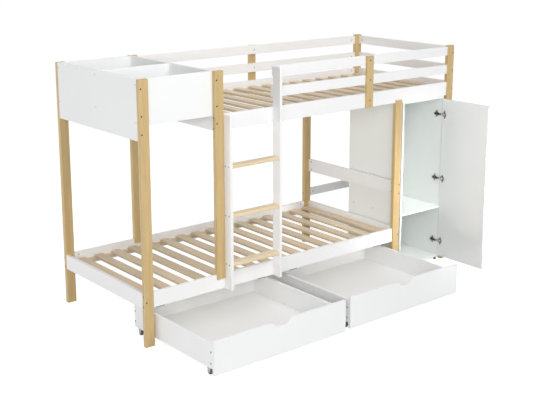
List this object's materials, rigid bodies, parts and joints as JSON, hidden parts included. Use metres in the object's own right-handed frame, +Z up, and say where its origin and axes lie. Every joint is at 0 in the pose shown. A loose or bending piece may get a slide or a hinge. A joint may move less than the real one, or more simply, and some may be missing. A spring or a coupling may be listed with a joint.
{
  "type": "bunk bed",
  "caption": "Staggered pine and white bunk bed with an offset upper bed, ladder, shelf box, wardrobe with a hinged door and rolling under-bed drawers",
  "frame": {"origin": "on the floor, under the middle of the whole bed with its drawers at rest half open", "axes": "+X along the beds from the shelf-box end to the wardrobe end, +Y from the ladder side to the wall side, +Z up"},
  "size_m": [2.618, 1.563, 1.575],
  "materials": {
    "pine": "clear-lacquered pine, satin",
    "white_lacquer": "white satin lacquer on board",
    "gloss_white": "high-gloss white lacquer",
    "dark_plastic": "matt moulded",
    "bolt_steel": "dark zinc",
    "hinge_nickel": "nickel plated",
    "zinc_steel": "bright zinc plated",
    "wheel_plastic": "moulded nylon"
  },
  "bodies": {
    "bed_frame": {"back_guard_rails": "white_lacquer", "back_stretcher": "white_lacquer", "foot_board": "white_lacquer", "foot_guard_rails": "white_lacquer", "frame_bolts": "bolt_steel", "front_guard_rails": "white_lacquer", "guard_posts": "pine", "hinge_arms": "hinge_nickel", "ladder_rungs": "pine", "ladder_stile_left": "white_lacquer", "ladder_stile_right": "white_lacquer", "lower_back_rail": "white_lacquer", "lower_foot_rail": "white_lacquer", "lower_front_rail": "white_lacquer", "lower_head_rail": "white_lacquer", "lower_slats": "pine", "post_back_inner": "pine", "post_back_left": "pine", "post_back_middle": "pine", "post_back_right": "pine", "post_front_inner": "pine", "post_front_left": "pine", "post_front_middle": "pine", "post_front_right": "pine", "rail_stops": "dark_plastic", "shelf_back_panel": "white_lacquer", "shelf_divider": "white_lacquer", "shelf_end_panel": "white_lacquer", "shelf_floor": "white_lacquer", "shelf_front_panel": "white_lacquer", "slat_battens": "pine", "upper_back_rail": "white_lacquer", "upper_foot_rail": "white_lacquer", "upper_front_rail": "white_lacquer", "upper_head_panel": "white_lacquer", "upper_slats": "pine", "wardrobe_back": "white_lacquer", "wardrobe_feet": "dark_plastic", "wardrobe_floor": "white_lacquer", "wardrobe_left_side": "white_lacquer", "wardrobe_right_side": "white_lacquer", "wardrobe_shelf": "white_lacquer", "wardrobe_top": "white_lacquer"},
    "door": {"wardrobe_door": "gloss_white", "hinge_cups": "hinge_nickel"},
    "left_drawer": {"left_drawer_back": "white_lacquer", "left_drawer_casters": "zinc_steel", "left_drawer_floor": "white_lacquer", "left_drawer_front": "white_lacquer", "left_drawer_sides": "white_lacquer"},
    "right_drawer": {"right_drawer_back": "white_lacquer", "right_drawer_casters": "zinc_steel", "right_drawer_floor": "white_lacquer", "right_drawer_front": "white_lacquer", "right_drawer_sides": "white_lacquer"},
    "left_front_axle": {"left_front_wheels": "wheel_plastic"},
    "left_rear_axle": {"left_rear_wheels": "wheel_plastic"},
    "right_front_axle": {"right_front_wheels": "wheel_plastic"},
    "right_rear_axle": {"right_rear_wheels": "wheel_plastic"}
  },
  "joints": [
    {"name": "door_hinge", "type": "hinge", "parent": "bed_frame", "child": "door", "pos_m": [1.208, -0.2175, 0.62], "axis": [0, 0, 1], "range_deg": [-90, 15]},
    {"name": "left_drawer_slide", "type": "slide", "parent": "bed_frame", "child": "left_drawer", "axis": [0, -1, 0], "range_m": [-0.557, 0.2]},
    {"name": "right_drawer_slide", "type": "slide", "parent": "bed_frame", "child": "right_drawer", "axis": [0, -1, 0], "range_m": [-0.542, 0.2]},
    {"name": "left_front_wheel_spin", "type": "hinge", "parent": "left_drawer", "child": "left_front_axle", "pos_m": [-0.785, -0.7255, 0.019], "axis": [1, 0, 0], "continuous": true},
    {"name": "left_rear_wheel_spin", "type": "hinge", "parent": "left_drawer", "child": "left_rear_axle", "pos_m": [-0.785, -0.0215, 0.019], "axis": [1, 0, 0], "continuous": true},
    {"name": "right_front_wheel_spin", "type": "hinge", "parent": "right_drawer", "child": "right_front_axle", "pos_m": [0.246, -0.7105, 0.019], "axis": [1, 0, 0], "continuous": true},
    {"name": "right_rear_wheel_spin", "type": "hinge", "parent": "right_drawer", "child": "right_rear_axle", "pos_m": [0.246, -0.0065, 0.019], "axis": [1, 0, 0], "continuous": true}
  ],
  "couplings": [
    {"joint": "left_front_wheel_spin", "follows": "left_drawer_slide", "rad_per_m": 52.632},
    {"joint": "left_rear_wheel_spin", "follows": "left_drawer_slide", "rad_per_m": 52.632},
    {"joint": "right_front_wheel_spin", "follows": "right_drawer_slide", "rad_per_m": 52.632},
    {"joint": "right_rear_wheel_spin", "follows": "right_drawer_slide", "rad_per_m": 52.632}
  ]
}
